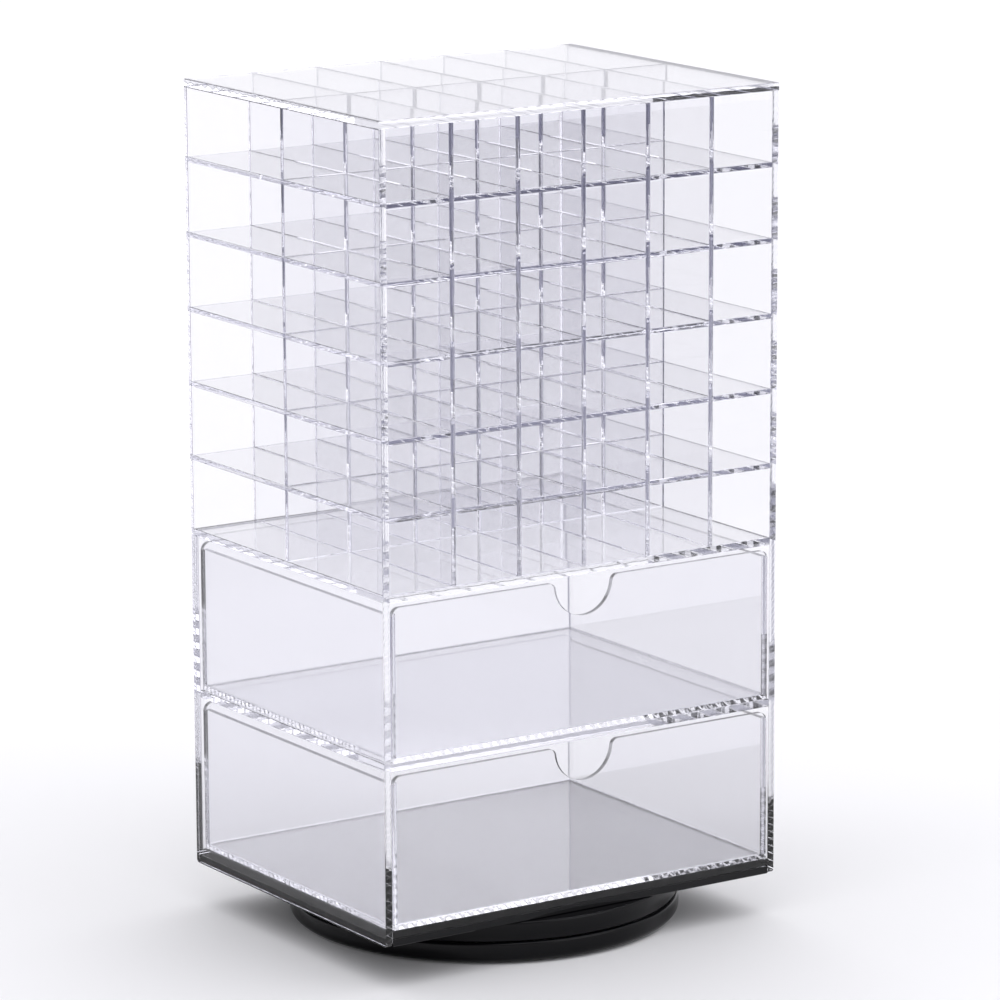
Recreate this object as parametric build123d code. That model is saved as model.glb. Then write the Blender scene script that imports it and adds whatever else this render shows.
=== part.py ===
"""Rotating organizer tower of clear sheet: a grid of square slots over two drawers, on a ball turntable.

All sizes are in millimetres. The origin is on the table, on the turning axis. +Z is up, and the
drawers open towards -Y. Each separate piece of the object is written as one STEP file in parts/.
"""
from build123d import *
import os

# Clear and black sheet: the true thickness of sheet sold as 3 mm and as 2 mm.
WALL_SHEET = 2.7
SLOT_SHEET = 1.8

# Tower: outer sizes of the box of clear sheet, and its grid of slots on the front and on the back.
TOWER_WIDTH = 160.0
TOWER_DEPTH = 124.8
COLUMNS = 6
ROWS = 6
BAY_HEIGHT = 54.7
SIDE_CORNER_RADIUS = 1.5
LAP_CLEARANCE = 0.05

# Drawers: the clear space round each one in its bay, and the shape of its front.
DRAWER_HEIGHT = 52.85
DRAWER_SIDE_GAP = 0.8
DRAWER_BOTTOM_GAP = 0.15
DRAWER_REAR_GAP = 0.3
DRAWER_WALL_DROP = 2.2
PANEL_CORNER_RADIUS = 3.0
NOTCH_RADIUS = 11.5
NOTCH_CENTRE_DEPTH = 1.0
NOTCH_SHOULDER_RADIUS = 2.6

# Turntable: two moulded discs with a ring of steel balls between them, on rubber feet.
TURNTABLE_HEIGHT = 15.0
DISC_RADIUS = 68.2
TOP_DISC_RADIUS = 67.8
DISC_CLEARANCE_UNDER = 0.8
DISC_TOP_CLEARANCE = 0.1
PARTING_HEIGHT = 7.9
PARTING_GAP = 0.4
DISC_PLATE = 2.4
RIM_WIDTH = 3.2
DISC_EDGE_RADIUS = 2.2
PARTING_EDGE_RADIUS = 0.8
RIB_COUNT = 8
RIB_WIDTH = 1.6
RIB_HEIGHT = 2.0

# Ball race.
BALL_COUNT = 24
BALL_RADIUS = 2.5
RACE_RADIUS = 45.0
RACE_GROOVE_CLEARANCE = 0.1
RACE_WALL_WIDTH = 10.0
RACE_WALL_BELOW_BALL_CENTRE = 1.3
CAGE_WIDTH = 9.0
CAGE_THICKNESS = 1.2
CAGE_HOLE_RADIUS = 2.65

# Centre pivot.
PIN_RADIUS = 3.0
PIN_HEAD_RADIUS = 6.0
PIN_HEAD_HEIGHT = 1.4
PIN_HEAD_RECESS = 0.2
PIN_FIXED_CLEARANCE = 0.03
PIN_RUNNING_CLEARANCE = 0.06
BOSS_RADIUS = 9.0
WASHER_RADIUS = 6.5
WASHER_THICKNESS = 0.8
WASHER_RUNNING_GAP = 0.05
PUSH_NUT_RADIUS = 4.8
PUSH_NUT_HEIGHT = 0.7
TOP_RECESS_RADIUS = 8.0
TOP_RECESS_DEPTH = 1.9

# Adhesive ring between the turntable and the black base plate, and the rubber feet.
ADHESIVE_OUTER_RADIUS = 58.0
ADHESIVE_INNER_RADIUS = 22.0
ADHESIVE_THICKNESS = 0.6
FOOT_COUNT = 6
FOOT_RADIUS = 5.5
FOOT_HEIGHT = 1.8
FOOT_CIRCLE_RADIUS = 57.0
FOOT_POCKET_CLEARANCE = 0.1

# Worked-out places.
HALF_WIDTH = TOWER_WIDTH / 2
HALF_DEPTH = TOWER_DEPTH / 2
INNER_HALF = HALF_WIDTH - WALL_SHEET
CELL = (2 * INNER_HALF - (COLUMNS - 1) * SLOT_SHEET) / COLUMNS
PITCH = CELL + SLOT_SHEET
BASE_BOTTOM = TURNTABLE_HEIGHT
FLOOR_BOTTOM = BASE_BOTTOM + WALL_SHEET
FLOOR_TOP = FLOOR_BOTTOM + WALL_SHEET
SHELF_BOTTOM = FLOOR_TOP + BAY_HEIGHT
SHELF_TOP = SHELF_BOTTOM + WALL_SHEET
ROOF_BOTTOM = SHELF_TOP + BAY_HEIGHT
ROOF_TOP = ROOF_BOTTOM + WALL_SHEET
GRID_TOP = ROOF_TOP + ROWS * PITCH - SLOT_SHEET
TOWER_TOP = GRID_TOP + WALL_SHEET
PARTITION_HALF = SLOT_SHEET / 2
BAY_BACK = HALF_DEPTH - WALL_SHEET
LAP_MIDDLE = (HALF_DEPTH + PARTITION_HALF) / 2

WIDE = (-INNER_HALF, INNER_HALF)
FULL_DEPTH = (-HALF_DEPTH, HALF_DEPTH)
BAY_DEPTH = (-HALF_DEPTH, BAY_BACK)

LOWER_DISC_BOTTOM = DISC_CLEARANCE_UNDER
LOWER_DISC_TOP = PARTING_HEIGHT - PARTING_GAP / 2
UPPER_DISC_BOTTOM = PARTING_HEIGHT + PARTING_GAP / 2
UPPER_DISC_TOP = TURNTABLE_HEIGHT - DISC_TOP_CLEARANCE
LOWER_FLOOR = LOWER_DISC_BOTTOM + DISC_PLATE
UPPER_CEILING = UPPER_DISC_TOP - DISC_PLATE
GROOVE_RADIUS = BALL_RADIUS + RACE_GROOVE_CLEARANCE
PIN_HEAD_TOP = LOWER_DISC_BOTTOM + PIN_HEAD_RECESS + PIN_HEAD_HEIGHT
RECESS_FLOOR = UPPER_DISC_TOP - TOP_RECESS_DEPTH
WASHER_BOTTOM = RECESS_FLOOR + WASHER_RUNNING_GAP
NUT_BOTTOM = WASHER_BOTTOM + WASHER_THICKNESS


def save(name, shape):
    """Write one piece to its own STEP file."""
    export_step(shape, f"parts/{name}.step")


def slab(x, y, z):
    """A flat piece of sheet between the given limits along each axis."""
    middle = [sum(limits) / 2 for limits in (x, y, z)]
    sides = [limits[1] - limits[0] for limits in (x, y, z)]
    return Pos(*middle) * Box(*sides)


def disc(radius, bottom, top):
    """An upright cylinder on the turning axis."""
    return Pos(0, 0, bottom) * Cylinder(radius, top - bottom, align=(Align.CENTER, Align.CENTER, Align.MIN))


def ring(outer, inner, bottom, top):
    """A flat ring on the turning axis."""
    return disc(outer, bottom, top) - disc(inner, bottom - 1, top + 1)


def column_x(column):
    """Middle of the upright divider after the given column, counted from 1 at the left."""
    return -INNER_HALF + column * PITCH - SLOT_SHEET / 2


def row_z(row):
    """Middle of the slot shelf over the given row, counted from 1 at the bottom."""
    return ROOF_TOP + row * PITCH - SLOT_SHEET / 2


def lap(middle):
    """Limits of the half-lap cut that lets one sheet cross another whose middle is given."""
    half = SLOT_SHEET / 2 + LAP_CLEARANCE
    return (middle - half, middle + half)


def divider(column, side):
    """Upright divider of one column, cut from its inner half to pass the shelves."""
    x = column_x(column)
    sheet = slab((x - SLOT_SHEET / 2, x + SLOT_SHEET / 2), (PARTITION_HALF, HALF_DEPTH), (ROOF_TOP, GRID_TOP))
    for row in range(1, ROWS):
        sheet -= slab((x - SLOT_SHEET, x + SLOT_SHEET), (0, LAP_MIDDLE + LAP_CLEARANCE), lap(row_z(row)))
    return sheet if side == "back" else mirror(sheet, about=Plane.XZ)


def slot_shelf(row, side):
    """Level shelf over one row, cut from its outer edge to pass the dividers."""
    z = row_z(row)
    sheet = slab(WIDE, (PARTITION_HALF, HALF_DEPTH), (z - SLOT_SHEET / 2, z + SLOT_SHEET / 2))
    for column in range(1, COLUMNS):
        cut_depth = (LAP_MIDDLE - LAP_CLEARANCE, HALF_DEPTH + 1)
        sheet -= slab(lap(column_x(column)), cut_depth, (z - SLOT_SHEET, z + SLOT_SHEET))
    return sheet if side == "back" else mirror(sheet, about=Plane.XZ)


def side_panel(sign):
    """Full-height side of the tower, with its two lower corners rounded."""
    inner, outer = sign * INNER_HALF, sign * HALF_WIDTH
    panel = slab((min(inner, outer), max(inner, outer)), FULL_DEPTH, (BASE_BOTTOM, GRID_TOP))
    lower_corners = panel.edges().filter_by(Axis.X).group_by(Axis.Z)[0]
    return fillet(lower_corners, SIDE_CORNER_RADIUS)


def build_tower():
    """The box, the partition, the grid of slots and the two drawer bays."""
    save("top_plate", slab((-HALF_WIDTH, HALF_WIDTH), FULL_DEPTH, (GRID_TOP, TOWER_TOP)))
    save("side_panel_left", side_panel(-1))
    save("side_panel_right", side_panel(1))
    save("mid_partition", slab(WIDE, (-PARTITION_HALF, PARTITION_HALF), (ROOF_TOP, GRID_TOP)))
    for side in ("front", "back"):
        for column in range(1, COLUMNS):
            save(f"{side}_divider_{column}", divider(column, side))
        for row in range(1, ROWS):
            save(f"{side}_shelf_{row}", slot_shelf(row, side))
    save("bay_roof", slab(WIDE, FULL_DEPTH, (ROOF_BOTTOM, ROOF_TOP)))
    save("bay_shelf", slab(WIDE, BAY_DEPTH, (SHELF_BOTTOM, SHELF_TOP)))
    save("bay_floor", slab(WIDE, BAY_DEPTH, (FLOOR_BOTTOM, FLOOR_TOP)))
    save("bay_back", slab(WIDE, (BAY_BACK, HALF_DEPTH), (FLOOR_BOTTOM, ROOF_BOTTOM)))
    save("base_plate", slab(WIDE, FULL_DEPTH, (BASE_BOTTOM, FLOOR_BOTTOM)))


def drawer_end(width, height, notched):
    """Outline of a drawer's front or back: two round top corners and, on the front, a finger notch."""
    outline = Rectangle(width, height)
    if notched:
        outline -= Pos(0, height / 2 - NOTCH_CENTRE_DEPTH) * Circle(NOTCH_RADIUS)
        shoulders = outline.vertices().group_by(Axis.Y)[-1].sort_by(Axis.X)[1:-1]
        outline = fillet(shoulders, NOTCH_SHOULDER_RADIUS)
    corners = outline.vertices().sort_by(Axis.X)
    top_corners = [max(pair, key=lambda point: point.Y) for pair in (corners[:2], corners[-2:])]
    return fillet(top_corners, PANEL_CORNER_RADIUS)


def build_drawer(name, bay_bottom):
    """One drawer: its ends and sides stand on its bottom sheet, and its sides are a little lower."""
    half_width = INNER_HALF - DRAWER_SIDE_GAP
    front, back = -HALF_DEPTH, BAY_BACK - DRAWER_REAR_GAP
    bottom = bay_bottom + DRAWER_BOTTOM_GAP
    bed = bottom + SLOT_SHEET
    top = bottom + DRAWER_HEIGHT
    save(f"{name}_bottom", slab((-half_width, half_width), (front, back), (bottom, bed)))
    for end, outer_y, notched in (("front", front + SLOT_SHEET, True), ("back", back, False)):
        outline = drawer_end(2 * half_width, top - bed, notched)
        plane = Plane(origin=(0, outer_y, (bed + top) / 2), x_dir=(1, 0, 0), z_dir=(0, -1, 0))
        save(f"{name}_{end}", extrude(plane * outline, SLOT_SHEET))
    for side, sign in (("left", -1), ("right", 1)):
        outer, inner = sign * half_width, sign * (half_width - SLOT_SHEET)
        wall = slab(
            (min(outer, inner), max(outer, inner)),
            (front + SLOT_SHEET, back - SLOT_SHEET),
            (bed, top - DRAWER_WALL_DROP),
        )
        save(f"{name}_{side}", wall)


def around(count, radius, phase=0.0):
    """Places evenly spaced round the turning axis, each turned to face outwards."""
    return [Rot(0, 0, phase + 360 * n / count) * Pos(radius, 0, 0) for n in range(count)]


def race_groove():
    """The ring-shaped space that the balls roll in, a little wider than a ball."""
    return Pos(0, 0, PARTING_HEIGHT) * Torus(RACE_RADIUS, GROOVE_RADIUS)


def rounded_rim(radius, bottom, top, bottom_radius, top_radius):
    """A solid disc whose outer lower and upper edges are rounded."""
    body = disc(radius, bottom, top)
    body = fillet(body.edges().group_by(Axis.Z)[0], bottom_radius)
    return fillet(body.edges().group_by(Axis.Z)[-1], top_radius)


def ribs(inner, outer, bottom, top, phase=0.0):
    """Radial stiffening ribs between two radii."""
    length = outer - inner
    rib = Pos(0, 0, (bottom + top) / 2) * Box(length, RIB_WIDTH, top - bottom)
    return [place * rib for place in around(RIB_COUNT, (inner + outer) / 2, phase)]


def build_turntable():
    """The fixed lower disc with its feet, the turning upper disc, and the balls between them."""
    rim_inner = TOP_DISC_RADIUS - RIM_WIDTH
    race_inner = RACE_RADIUS - RACE_WALL_WIDTH / 2
    race_outer = RACE_RADIUS + RACE_WALL_WIDTH / 2
    lower_race_top = PARTING_HEIGHT - RACE_WALL_BELOW_BALL_CENTRE
    upper_race_bottom = PARTING_HEIGHT + RACE_WALL_BELOW_BALL_CENTRE

    lower = rounded_rim(
        DISC_RADIUS, LOWER_DISC_BOTTOM, LOWER_DISC_TOP, DISC_EDGE_RADIUS, PARTING_EDGE_RADIUS
    )
    lower -= disc(rim_inner, LOWER_FLOOR, LOWER_DISC_TOP + 1)
    lower += ring(race_outer, race_inner, LOWER_FLOOR - 1, lower_race_top) - race_groove()
    lower += disc(BOSS_RADIUS, LOWER_FLOOR - 1, lower_race_top)
    lower += ribs(race_outer - 1, rim_inner + 1, LOWER_FLOOR - 0.5, LOWER_FLOOR + RIB_HEIGHT)
    lower += ribs(BOSS_RADIUS - 1, race_inner + 1, LOWER_FLOOR - 0.5, LOWER_FLOOR + RIB_HEIGHT)
    lower -= disc(PIN_RADIUS + PIN_FIXED_CLEARANCE, 0, PARTING_HEIGHT)
    lower -= disc(PIN_HEAD_RADIUS + FOOT_POCKET_CLEARANCE, 0, PIN_HEAD_TOP)
    pocket = Cylinder(
        FOOT_RADIUS + FOOT_POCKET_CLEARANCE, FOOT_HEIGHT, align=(Align.CENTER, Align.CENTER, Align.MIN)
    )
    foot_places = around(FOOT_COUNT, FOOT_CIRCLE_RADIUS, 180 / FOOT_COUNT)
    lower -= [place * pocket for place in foot_places]
    save("turntable_lower_disc", lower)

    upper = rounded_rim(
        TOP_DISC_RADIUS, UPPER_DISC_BOTTOM, UPPER_DISC_TOP, PARTING_EDGE_RADIUS, PARTING_EDGE_RADIUS
    )
    upper -= disc(rim_inner, UPPER_DISC_BOTTOM - 1, UPPER_CEILING)
    upper += ring(race_outer, race_inner, upper_race_bottom, UPPER_CEILING + 1) - race_groove()
    upper += disc(BOSS_RADIUS, upper_race_bottom, UPPER_CEILING + 1)
    upper += ribs(race_outer - 1, rim_inner + 1, UPPER_CEILING - RIB_HEIGHT, UPPER_CEILING + 0.5)
    upper += ribs(BOSS_RADIUS - 1, race_inner + 1, UPPER_CEILING - RIB_HEIGHT, UPPER_CEILING + 0.5)
    upper -= disc(PIN_RADIUS + PIN_RUNNING_CLEARANCE, PARTING_HEIGHT, TURNTABLE_HEIGHT)
    upper -= disc(TOP_RECESS_RADIUS, RECESS_FLOOR, TURNTABLE_HEIGHT)
    adhesive_bottom = TURNTABLE_HEIGHT - ADHESIVE_THICKNESS
    upper -= ring(ADHESIVE_OUTER_RADIUS, ADHESIVE_INNER_RADIUS, adhesive_bottom, TURNTABLE_HEIGHT)
    save("turntable_upper_disc", upper)
    save(
        "adhesive_ring",
        ring(ADHESIVE_OUTER_RADIUS, ADHESIVE_INNER_RADIUS, adhesive_bottom, TURNTABLE_HEIGHT),
    )

    cage = ring(
        RACE_RADIUS + CAGE_WIDTH / 2,
        RACE_RADIUS - CAGE_WIDTH / 2,
        PARTING_HEIGHT - CAGE_THICKNESS / 2,
        PARTING_HEIGHT + CAGE_THICKNESS / 2,
    )
    ball_places = [Pos(0, 0, PARTING_HEIGHT) * place for place in around(BALL_COUNT, RACE_RADIUS)]
    cage -= [place * Cylinder(CAGE_HOLE_RADIUS, 2 * CAGE_THICKNESS) for place in ball_places]
    save("ball_cage", cage)
    save("bearing_balls", Compound([place * Sphere(BALL_RADIUS) for place in ball_places]))

    pin = disc(PIN_HEAD_RADIUS, PIN_HEAD_TOP - PIN_HEAD_HEIGHT, PIN_HEAD_TOP)
    pin += disc(PIN_RADIUS, PIN_HEAD_TOP, NUT_BOTTOM + PUSH_NUT_HEIGHT / 2)
    save("pivot_pin", pin)
    washer_bore = PIN_RADIUS + PIN_FIXED_CLEARANCE
    save("pivot_washer", ring(WASHER_RADIUS, washer_bore, WASHER_BOTTOM, NUT_BOTTOM))
    nut = disc(PUSH_NUT_RADIUS, NUT_BOTTOM, NUT_BOTTOM + PUSH_NUT_HEIGHT)
    nut -= disc(washer_bore, NUT_BOTTOM - 1, NUT_BOTTOM + PUSH_NUT_HEIGHT / 2)
    save("push_nut", nut)

    foot = Cylinder(FOOT_RADIUS, FOOT_HEIGHT, align=(Align.CENTER, Align.CENTER, Align.MIN))
    save("rubber_feet", Compound([place * foot for place in foot_places]))


os.makedirs("parts", exist_ok=True)
build_tower()
build_drawer("upper_drawer", SHELF_TOP)
build_drawer("lower_drawer", FLOOR_TOP)
build_turntable()
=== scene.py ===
"""Looks of a turning organizer tower: clear cut sheet over two drawers, on a black ball turntable.

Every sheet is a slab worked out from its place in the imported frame, with broken corners and
cut edges of their own. Sheets that are cemented together sink into each other by a hair, so
that light passes from one into the next as it does through a clear joint.
"""
import logging
import math
from dataclasses import dataclass
from enum import Enum, IntEnum
from typing import Iterable, Optional

import bpy
import numpy as np
from mathutils import Matrix, Vector


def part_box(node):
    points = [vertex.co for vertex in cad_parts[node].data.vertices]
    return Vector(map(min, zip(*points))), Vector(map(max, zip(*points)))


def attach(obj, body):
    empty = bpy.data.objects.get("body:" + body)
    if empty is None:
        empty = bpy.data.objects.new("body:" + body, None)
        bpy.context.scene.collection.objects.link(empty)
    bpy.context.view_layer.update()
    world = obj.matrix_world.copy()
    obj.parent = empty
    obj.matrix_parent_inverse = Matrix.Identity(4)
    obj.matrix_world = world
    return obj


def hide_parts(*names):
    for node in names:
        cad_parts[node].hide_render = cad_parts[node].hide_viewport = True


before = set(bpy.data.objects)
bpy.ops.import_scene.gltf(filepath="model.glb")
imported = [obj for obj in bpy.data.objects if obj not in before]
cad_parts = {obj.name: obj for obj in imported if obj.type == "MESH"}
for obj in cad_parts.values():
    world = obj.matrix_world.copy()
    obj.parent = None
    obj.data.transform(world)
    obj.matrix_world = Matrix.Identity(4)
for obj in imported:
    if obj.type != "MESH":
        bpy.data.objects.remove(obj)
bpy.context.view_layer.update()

LOG = logging.getLogger("organizer_tower")

MM = 0.001
QUARTER = math.pi / 2.0
FACES_ALONG = 0.5  # Least share of a unit normal along an axis for a side that faces along it.
SHEET_REFRACTION = 1.49
LOSS_COLOUR = (0.4, 0.4, 0.6, 1.0)  # What long paths through clear sheet let pass.
LOSS_PER_METRE = 0.8
ONE_BAND = math.pi / 10.0  # Scale at which the wave node has one band to a unit of length.

Pair = tuple[float, float]
Triple = tuple[float, float, float]
Colour = tuple[float, float, float, float]
Socket = bpy.types.NodeSocket


class Facing(Enum):
    """The axis that a flat sheet faces along. The sheet's plane has the next two axes, in order."""

    X = 0
    Y = 1
    Z = 2

    @property
    def plane(self) -> tuple[int, int]:
        """Indices of the two axes in the sheet's own plane, right-handed about its normal."""
        return (self.value + 1) % 3, (self.value + 2) % 3


class Body(Enum):
    """The moving bodies that pieces ride on."""

    TOWER = "tower"
    BASE = "turntable_base"
    UPPER_DRAWER = "upper_drawer"
    LOWER_DRAWER = "lower_drawer"


class Side(Enum):
    """The two sides of the tower that have slots."""

    FRONT = "front"
    BACK = "back"

    def outer_inner(self, limits: "Limits") -> Pair:
        """Outer and inner limit along Y of a sheet in this side's grid."""
        ends = limits.low[1], limits.high[1]
        return ends if self is Side.FRONT else ends[::-1]


class SheetFinish(IntEnum):
    """Place of each finish in the list of materials of a clear sheet."""

    FACE = 0
    OPEN_EDGE = 1
    CEMENTED_EDGE = 2
    RUBBED_EDGE = 3
    SAWN_EDGE = 4
    PANEL_EDGE = 5


# ---------------------------------------------------------------- outlines and meshes


def arc(centre: Pair, radius: float, start: float, end: float, steps: int) -> np.ndarray:
    """Points on an arc: centre plus radius times the cosine and sine of evenly spaced angles.

    Args:
        centre: Middle of the circle.
        radius: Radius of the circle.
        start: First angle in radians.
        end: Last angle in radians.
        steps: Number of chords.

    Returns:
        Points as an array of steps + 1 rows.
    """
    angle = np.linspace(start, end, steps + 1)
    return np.column_stack((centre[0] + radius * np.cos(angle), centre[1] + radius * np.sin(angle)))


def rectangle(low: np.ndarray, high: np.ndarray) -> np.ndarray:
    """Four corners of a rectangle, counter-clockwise from its lowest corner.

    Args:
        low: Lowest corner.
        high: Highest corner.

    Returns:
        Points as an array of four rows.
    """
    return np.array([[low[0], low[1]], [high[0], low[1]], [high[0], high[1]], [low[0], high[1]]])


def comb(along: Pair, closed: float, opened: float, floor: float, cuts: np.ndarray) -> np.ndarray:
    """Outline of a strip with square cuts that open on one long side.

    Args:
        along: Limits of the strip along its length.
        closed: Place of the whole long side.
        opened: Place of the side that the cuts open on.
        floor: Place of the cuts' inner ends.
        cuts: Limits of each cut along the length, one row each, in rising order.

    Returns:
        Points as rows of (along, across), in order round the strip.
    """
    falling = cuts[::-1]
    along_cut = falling[:, [1, 1, 0, 0]].ravel()
    across_cut = np.tile([opened, floor, floor, opened], len(cuts))
    ends = np.array([[along[0], closed], [along[1], closed], [along[1], opened]])
    return np.vstack((ends, np.column_stack((along_cut, across_cut)), [[along[0], opened]]))


def anticlockwise(outline: np.ndarray) -> np.ndarray:
    """The same outline turned anticlockwise, by the sign of its shoelace area.

    Args:
        outline: Points of a closed outline, the last not repeating the first.

    Returns:
        The points, reversed where their order was clockwise.
    """
    x, y = outline.T
    area = np.sum(x * np.roll(y, -1) - np.roll(x, -1) * y)
    return outline if area > 0 else outline[::-1]


def run_along(outline: np.ndarray) -> np.ndarray:
    """Distance run round a closed outline: the running sum of its sides' lengths, from nought.

    Args:
        outline: Points of a closed outline, the last not repeating the first.

    Returns:
        The distance at each point, and the whole length at the end.
    """
    side = np.roll(outline, -1, axis=0) - outline
    return np.concatenate(([0.0], np.cumsum(np.linalg.norm(side, axis=1))))


def inset(outline: np.ndarray, distance: float) -> np.ndarray:
    """Moves each side inwards by the same distance: a point moves along the mitre of its two sides.

    The mitre is the sum of the two unit normals over one plus their dot product.

    Args:
        outline: Anticlockwise points.
        distance: How far the sides move.

    Returns:
        The moved points.
    """
    side = np.roll(outline, -1, axis=0) - outline
    side /= np.linalg.norm(side, axis=1)[:, None]
    normal = np.column_stack((-side[:, 1], side[:, 0]))
    before = np.roll(normal, 1, axis=0)
    mitre = (normal + before) / (1.0 + np.sum(normal * before, axis=1))[:, None]
    return outline + distance * mitre


@dataclass(frozen=True)
class Slab:
    """A cut sheet: an outline in its own plane, its two limits across, and its broken corners."""

    outline: np.ndarray
    facing: Facing
    low: float
    high: float
    corner: float = 0.18 * MM

    def sides(self) -> tuple[np.ndarray, np.ndarray]:
        """Works out where each side's cut edge lies and which way it looks.

        Returns:
            Middle and outward normal of each side of the outline, as rows of x, y and z.
        """
        rim = anticlockwise(np.asarray(self.outline, float))
        ahead = np.roll(rim, -1, axis=0)
        run = (ahead - rim) / np.linalg.norm(ahead - rim, axis=1)[:, None]
        middle, normal = np.zeros((len(rim), 3)), np.zeros((len(rim), 3))
        plane = list(self.facing.plane)
        middle[:, plane] = (rim + ahead) / 2.0
        middle[:, self.facing.value] = (self.low + self.high) / 2.0
        normal[:, plane] = np.column_stack((run[:, 1], -run[:, 0]))
        return middle, normal

    def mesh(
        self, name: str, rim_material: np.ndarray, cap_material: tuple[int, int] = (0, 0)
    ) -> bpy.types.Mesh:
        """Builds the slab as four rings of the outline, which three bands join, and two caps.

        The rings lie at the low face, at the two ends of the cut edge and at the high face, and
        the first and last are inset by the broken corner. The map runs along the outline on the
        bands, and is the plane itself on the caps.

        Args:
            name: Name of the mesh.
            rim_material: Material index of the cut edge along each side of the outline.
            cap_material: Material indices of the low and the high face.

        Returns:
            A closed mesh.
        """
        rim = anticlockwise(np.asarray(self.outline, float))
        count = len(rim)
        insets = np.array([self.corner, 0.0, 0.0, self.corner])
        heights = np.array([self.low, self.low + self.corner, self.high - self.corner, self.high])
        rings = np.stack([inset(rim, distance) for distance in insets])
        points = np.empty((4 * count, 3))
        first, second = self.facing.plane
        points[:, first] = rings[:, :, 0].ravel()
        points[:, second] = rings[:, :, 1].ravel()
        points[:, self.facing.value] = np.repeat(heights, count)

        index = np.arange(4 * count).reshape(4, count)
        turned = np.roll(index, -1, axis=1)
        quads = np.stack((index[:-1], turned[:-1], turned[1:], index[1:]), axis=-1).reshape(-1, 4)
        faces = quads.tolist() + [index[0][::-1].tolist(), index[3].tolist()]

        length = run_along(rim)
        rise = heights - self.low
        along = np.stack((length[:-1], length[1:], length[1:], length[:-1]), axis=-1)
        across = np.stack((rise[:-1], rise[:-1], rise[1:], rise[1:]), axis=-1)
        band = np.empty((3, count, 4, 2))
        band[..., 0] = along[None]
        band[..., 1] = across[:, None, :]
        chart = np.vstack((band.reshape(-1, 2), rings[0][::-1], rings[3]))
        material = np.concatenate((np.tile(rim_material, 3), cap_material))
        return mesh_from(name, points, faces, chart, material)


@dataclass(frozen=True)
class Lathe:
    """A turned piece: a closed profile of (radius, height) points carried round the turning axis."""

    profile: np.ndarray
    steps: int = 288
    centre: Pair = (0.0, 0.0)

    def arrays(self) -> tuple[np.ndarray, np.ndarray, np.ndarray]:
        """Works out the turned surface: x and y are the radius times the angle's cosine and sine.

        Returns:
            Points, four-sided faces, and the map of each face corner along the turn and the profile.
        """
        radius, height = self.profile.T
        angle = np.linspace(0.0, 2.0 * math.pi, self.steps, endpoint=False)
        points = np.stack(
            (
                self.centre[0] + np.outer(np.cos(angle), radius),
                self.centre[1] + np.outer(np.sin(angle), radius),
                np.tile(height, (self.steps, 1)),
            ),
            axis=-1,
        ).reshape(-1, 3)
        index = np.arange(len(points)).reshape(self.steps, -1)
        ahead = np.roll(index, -1, axis=0)
        faces = np.stack(
            (index, ahead, np.roll(ahead, -1, axis=1), np.roll(index, -1, axis=1)), axis=-1
        ).reshape(-1, 4)
        travel = run_along(self.profile)
        reach = radius.max()
        turn = np.append(angle, 2.0 * math.pi) * reach
        u = np.stack((turn[:-1], turn[1:], turn[1:], turn[:-1]), axis=-1)
        v = np.stack((travel[:-1], travel[:-1], travel[1:], travel[1:]), axis=-1)
        chart = np.empty((self.steps, len(self.profile), 4, 2))
        chart[..., 0] = u[:, None, :]
        chart[..., 1] = v[None, :, :]
        return points, faces, chart.reshape(-1, 2)

    def mesh(self, name: str) -> bpy.types.Mesh:
        """Builds the turned surface as a smooth mesh.

        Args:
            name: Name of the mesh.

        Returns:
            The mesh, closed because its profile is closed.
        """
        return smooth_mesh(name, *self.arrays())


def mesh_from(
    name: str, points: np.ndarray, faces: list, chart: np.ndarray, material: np.ndarray
) -> bpy.types.Mesh:
    """Puts worked-out arrays into a new mesh.

    Args:
        name: Name of the mesh.
        points: Vertex places, one row each.
        faces: Vertex indices of each face, anticlockwise from outside.
        chart: Map place of each face corner, in the order of the faces.
        material: Material index of each face.

    Returns:
        The mesh.
    """
    made = bpy.data.meshes.new(name)
    made.from_pydata(points.tolist(), [], faces)
    layer = made.uv_layers.new(name="chart")
    layer.data.foreach_set("uv", np.asarray(chart, np.float32).ravel())
    made.polygons.foreach_set("material_index", np.asarray(material, np.int32))
    made.update()
    return made


def smooth_mesh(
    name: str, points: np.ndarray, faces: np.ndarray, chart: np.ndarray
) -> bpy.types.Mesh:
    """Puts a worked-out smooth surface of one finish into a new mesh.

    Args:
        name: Name of the mesh.
        points: Vertex places, one row each.
        faces: Vertex indices, one row to each face.
        chart: Map place of each face corner, in the order of the faces.

    Returns:
        The mesh.
    """
    made = mesh_from(name, points, faces.tolist(), chart, np.zeros(len(faces), int))
    made.polygons.foreach_set("use_smooth", np.ones(len(faces), bool))
    return made


def add_piece(
    mesh: bpy.types.Mesh,
    body: Body,
    materials: Iterable[bpy.types.Material],
    stands_for: Iterable[str],
) -> bpy.types.Object:
    """Links a mesh as a piece of the object, riding on its body and standing for its nodes.

    Args:
        mesh: The finished mesh, already in its place.
        body: The body that it moves with.
        materials: Materials in the order of the mesh's indices.
        stands_for: Nodes that it hides.

    Returns:
        The linked object.
    """
    piece = bpy.data.objects.new(mesh.name, mesh)
    bpy.context.scene.collection.objects.link(piece)
    for material in materials:
        mesh.materials.append(material)
    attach(piece, body.value)
    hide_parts(*stands_for)
    LOG.info("%s: %d faces on %s", piece.name, len(mesh.polygons), body.value)
    return piece


# ---------------------------------------------------------------- finishes


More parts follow.
